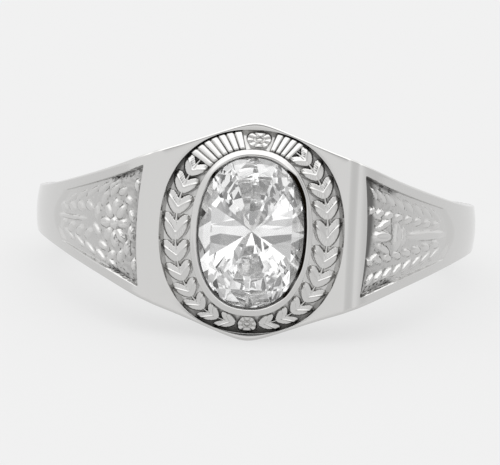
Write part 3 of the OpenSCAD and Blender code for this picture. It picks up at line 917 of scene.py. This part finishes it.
# A colour mix node's two inputs and its output, by number, since its names repeat
MIX_FIRST = 6
MIX_SECOND = 7
MIX_OUT = 2


def nodes_of(name):
    material = bpy.data.materials.new(name)
    material.use_nodes = True
    tree = material.node_tree
    return material, tree, tree.nodes["Principled BSDF"]


def set_input(tree, socket, value):
    """Gives an input a plain value or another node's output."""
    if isinstance(value, bpy.types.NodeSocket):
        tree.links.new(value, socket)
    else:
        socket.default_value = value


def math_node(tree, operation, *values):
    """The result of a Math node on plain values or other nodes' outputs."""
    node = tree.nodes.new("ShaderNodeMath")
    node.operation = operation
    for socket, value in zip(node.inputs, values):
        set_input(tree, socket, value)
    return node.outputs["Value"]


def map_range(tree, value, low, high):
    """A value from 0 to 1, brought to the range from low to high."""
    node = tree.nodes.new("ShaderNodeMapRange")
    for name, given in (("Value", value), ("To Min", low), ("To Max", high)):
        set_input(tree, node.inputs[name], given)
    return node.outputs["Result"]


def attribute(tree, name):
    node = tree.nodes.new("ShaderNodeAttribute")
    node.attribute_name = name
    return node.outputs["Fac"]


def object_coords(tree):
    return tree.nodes.new("ShaderNodeTexCoord").outputs["Object"]


def patina_and_shade_colour(tree, ground):
    """The metal's colour. Its patina and painted shade are full at 1, and past 1 the painted shade is
    nearly black.
    """
    tone = tree.nodes.new("ShaderNodeMix")
    tone.data_type = "RGBA"
    tone.clamp_factor = False
    tone.inputs[MIX_FIRST].default_value = METAL_COLOUR
    tone.inputs[MIX_SECOND].default_value = PATINA_AND_SHADE_COLOUR
    tree.links.new(ground, tone.inputs[0])
    return tone.outputs[MIX_OUT]


def stipple_bump(tree, grain):
    """Fine punch marks, as deep as each point's grain says."""
    stipple = tree.nodes.new("ShaderNodeTexVoronoi")
    stipple.feature = "SMOOTH_F1"
    stipple.inputs["Scale"].default_value = STIPPLE_SCALE
    tree.links.new(object_coords(tree), stipple.inputs["Vector"])
    bump = tree.nodes.new("ShaderNodeBump")
    bump.inputs["Strength"].default_value = 1.0
    bump.inputs["Distance"].default_value = STIPPLE_DEPTH
    depth = math_node(tree, "MULTIPLY", grain, stipple.outputs["Distance"])
    tree.links.new(depth, bump.inputs["Height"])
    return bump.outputs["Normal"]


def white_metal():
    """Polished white metal, dark and rougher where the pieces' points say so."""
    material, tree, shader = nodes_of("white_metal")
    shader.inputs["Metallic"].default_value = 1.0
    ground = attribute(tree, "ground")
    noise = tree.nodes.new("ShaderNodeTexNoise")
    noise.inputs["Scale"].default_value = NOISE_SCALE
    noise.inputs["Detail"].default_value = NOISE_DETAIL
    link = tree.links.new
    link(object_coords(tree), noise.inputs["Vector"])
    rough = map_range(tree, noise.outputs["Fac"], *ROUGHNESS)
    link(patina_and_shade_colour(tree, ground), shader.inputs["Base Color"])
    link(math_node(tree, "MULTIPLY_ADD", ground, PATINA_AND_SHADE_ROUGHNESS, rough), shader.inputs["Roughness"])
    link(stipple_bump(tree, attribute(tree, "grain")), shader.inputs["Normal"])
    return material


def fragments(tree, cells_a_metre, weakest, strongest):
    """A light that differs from cell to cell of a pattern."""
    cells = tree.nodes.new("ShaderNodeTexVoronoi")
    cells.inputs["Scale"].default_value = cells_a_metre
    tree.links.new(object_coords(tree), cells.inputs["Vector"])
    share = tree.nodes.new("ShaderNodeSeparateColor")
    tree.links.new(cells.outputs["Color"], share.inputs["Color"])
    return map_range(tree, share.outputs["Red"], weakest, strongest)


def clear_stone():
    """Clear cut stone. A path is cut off after a few reflections inside the stone, so the light
    that it would still have gathered is stood in for by fragments of light."""
    material, tree, shader = nodes_of("clear_stone")
    shader.inputs["Transmission Weight"].default_value = 1.0
    shader.inputs["Roughness"].default_value = 0.0
    shader.inputs["IOR"].default_value = STONE_IOR
    shader.inputs["Emission Color"].default_value = WHITE
    reflections = tree.nodes.new("ShaderNodeLightPath").outputs["Glossy Depth"]
    inside = tree.nodes.new("ShaderNodeNewGeometry").outputs["Backfacing"]
    cut_off = math_node(tree, "GREATER_THAN", reflections, REFLECTIONS)
    where = math_node(tree, "MULTIPLY", cut_off, inside)
    glow = math_node(tree, "MULTIPLY", where, fragments(tree, *FRAGMENTS))
    tree.links.new(glow, shader.inputs["Emission Strength"])
    return material


metal = white_metal()
for piece in (band_casting(metal), border_ornament(metal), bezel_rim(metal)):
    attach(piece, "root")
    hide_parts("ring_band")
stone = oval_stone(clear_stone())
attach(stone, "root")
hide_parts("oval_stone")

# Floor, in metres. It gives off part of its own light, so that the shadow stays faint
FLOOR_HALF = 1
FLOOR_GREY = 0.15
FLOOR_LIGHT = 0.67
# What the stone gathers from the floor is broken up: cells a metre, and the weakest and strongest
FLOOR_FRAGMENTS = (350, 0.15, 1.25)


def pale_floor():
    """A matt floor, whose light is plain except to rays that come through the stone."""
    material, tree, shader = nodes_of("pale_floor")
    shader.inputs["Base Color"].default_value = (FLOOR_GREY, FLOOR_GREY, FLOOR_GREY, 1)
    shader.inputs["Emission Color"].default_value = WHITE
    shader.inputs["Roughness"].default_value = 1.0
    shader.inputs["Specular IOR Level"].default_value = 0.0
    surfaces = tree.nodes.new("ShaderNodeLightPath").outputs["Transmission Depth"]
    through = math_node(tree, "GREATER_THAN", surfaces, 0)
    light = map_range(tree, through, FLOOR_LIGHT, fragments(tree, *FLOOR_FRAGMENTS))
    tree.links.new(light, shader.inputs["Emission Strength"])
    return material


def floor_piece(material):
    mesh = bpy.data.meshes.new("floor")
    corners = [(FLOOR_HALF * x, FLOOR_HALF * y, 0) for x, y in ((-1, -1), (1, -1), (1, 1), (-1, 1))]
    mesh.from_pydata(corners, [], [(0, 1, 2, 3)])
    mesh.materials.append(material)
    piece = bpy.data.objects.new("floor", mesh)
    bpy.context.collection.objects.link(piece)
    return piece


floor = floor_piece(pale_floor())

# The studio round the ring: patches of light and shade as [azimuth from the camera's side towards
# +X, elevation, half angle, softness, all in degrees, and strength]
STUDIO_STRENGTH = 1.0
STUDIO = (
    (0, 90, 52, 16, 1.7),
    (75, 10, 28, 24, 0.78),
    (0, 28, 12, 4, 0.45),
    (0, 28, 6, 3, 0.05),
)


def direction(azimuth, elevation):
    """A unit direction. Azimuth 0 is the camera's side."""
    across, away = math.sin(azimuth), -math.cos(azimuth)
    return across * math.cos(elevation), away * math.cos(elevation), math.sin(elevation)


def studio_world():
    """A world whose strength changes softly at each patch of light or shade."""
    world = bpy.data.worlds.new("studio")
    bpy.context.scene.world = world
    world.use_nodes = True
    tree = world.node_tree
    toward = tree.nodes.new("ShaderNodeTexCoord").outputs["Generated"]
    strength = STUDIO_STRENGTH
    for azimuth, elevation, half, soft, value in STUDIO:
        dot = tree.nodes.new("ShaderNodeVectorMath")
        dot.operation = "DOT_PRODUCT"
        dot.inputs[1].default_value = direction(math.radians(azimuth), math.radians(elevation))
        tree.links.new(toward, dot.inputs[0])
        patch = tree.nodes.new("ShaderNodeMapRange")
        patch.interpolation_type = "SMOOTHSTEP"
        patch.inputs["From Min"].default_value = math.cos(math.radians(half + soft))
        patch.inputs["From Max"].default_value = math.cos(math.radians(half - soft))
        patch.inputs["To Max"].default_value = value
        tree.links.new(dot.outputs["Value"], patch.inputs["Value"])
        set_input(tree, patch.inputs["To Min"], strength)
        strength = patch.outputs["Result"]
    background = tree.nodes["Background"]
    background.inputs["Color"].default_value = WHITE
    tree.links.new(strength, background.inputs["Strength"])


# The camera stands in front of the head, a little above its middle, and looks at a point close to
# the middle of the stone. The distance is in metres, and the scale is that of the photo
CAMERA_DISTANCE = 0.27
CAMERA_ELEVATION = math.radians(14.2)
CAMERA_YAW = math.radians(0.9)
CAMERA_ROLL = math.radians(2.7)
TARGET = (-0.05, -BEZEL_Y, 0.03)
MM_PER_PIXEL = 0.0448
FRAME_PIXELS = 500
SENSOR_WIDTH = 36
CLIP_START = 0.01


def photo_camera():
    """A camera at the photo's angle to the ring."""
    data = bpy.data.cameras.new("camera")
    data.sensor_width = SENSOR_WIDTH
    data.lens = SENSOR_WIDTH * CAMERA_DISTANCE / (MM_PER_PIXEL * MM * FRAME_PIXELS)
    data.clip_start = CLIP_START
    camera = bpy.data.objects.new("camera", data)
    bpy.context.collection.objects.link(camera)
    back = Vector(direction(CAMERA_YAW, CAMERA_ELEVATION))
    camera.location = Vector(place(TARGET).tolist()) + back * CAMERA_DISTANCE
    view = (-back).to_track_quat("-Z", "Y").to_matrix() @ Matrix.Rotation(CAMERA_ROLL, 3, "Z")
    camera.rotation_mode = "QUATERNION"
    camera.rotation_quaternion = view.to_quaternion()
    return camera


studio_world()
bpy.context.scene.camera = photo_camera()
bpy.context.scene.view_settings.view_transform = "Standard"
